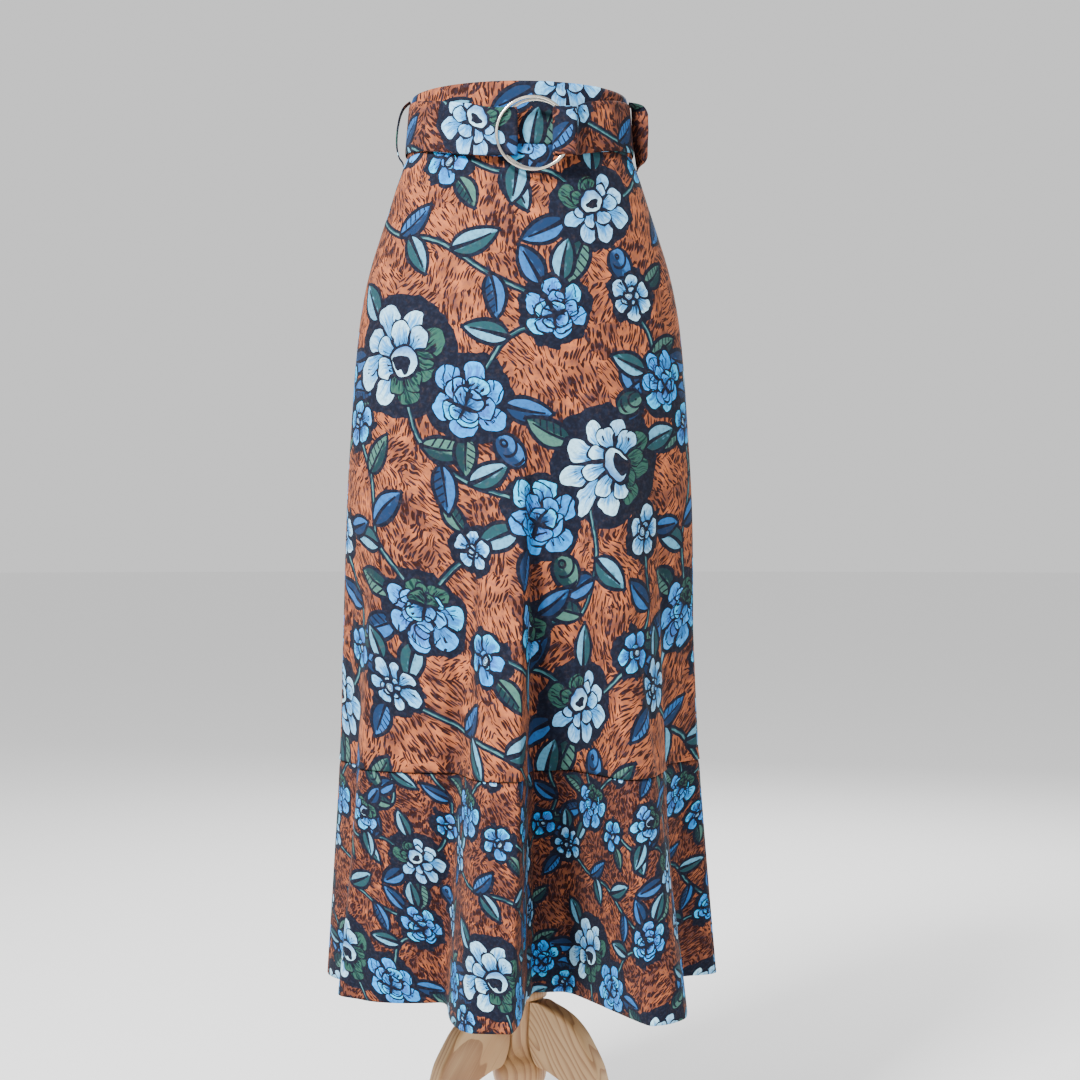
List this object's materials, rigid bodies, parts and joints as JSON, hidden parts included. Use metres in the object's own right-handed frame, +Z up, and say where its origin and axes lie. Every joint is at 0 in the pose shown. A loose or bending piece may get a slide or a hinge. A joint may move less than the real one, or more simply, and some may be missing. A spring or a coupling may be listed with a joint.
{
  "type": "a-line skirt on a hip dress form with a tripod stand",
  "caption": "Long high-waisted A-line skirt with a flounce and a double-ring cloth belt, worn by a hip form on a wooden tripod.",
  "frame": {"origin": "on the floor, under the middle of the stand and of the skirt's hem", "axes": "+Z up; -Y is the front, where the belt's rings are; +X is the viewer's right from the front"},
  "size_m": [0.4246, 0.5218, 1.157],
  "materials": {
    "printed_cotton": "matt printed cotton",
    "nickel": "polished nickel plate",
    "linen": "plain linen cover",
    "pale_wood": "satin varnish"
  },
  "bodies": {
    "root": {"waistband": "printed_cotton", "skirt_front": "printed_cotton", "skirt_back_left": "printed_cotton", "skirt_back_right": "printed_cotton", "flounce_front": "printed_cotton", "flounce_back": "printed_cotton", "belt": "printed_cotton", "loop_left": "printed_cotton", "loop_right": "printed_cotton", "ring_front": "nickel", "ring_rear": "nickel", "form": "linen", "pole": "pale_wood", "post": "pale_wood", "leg_left": "pale_wood", "leg_right": "pale_wood", "leg_back": "pale_wood"}
  },
  "joints": []
}
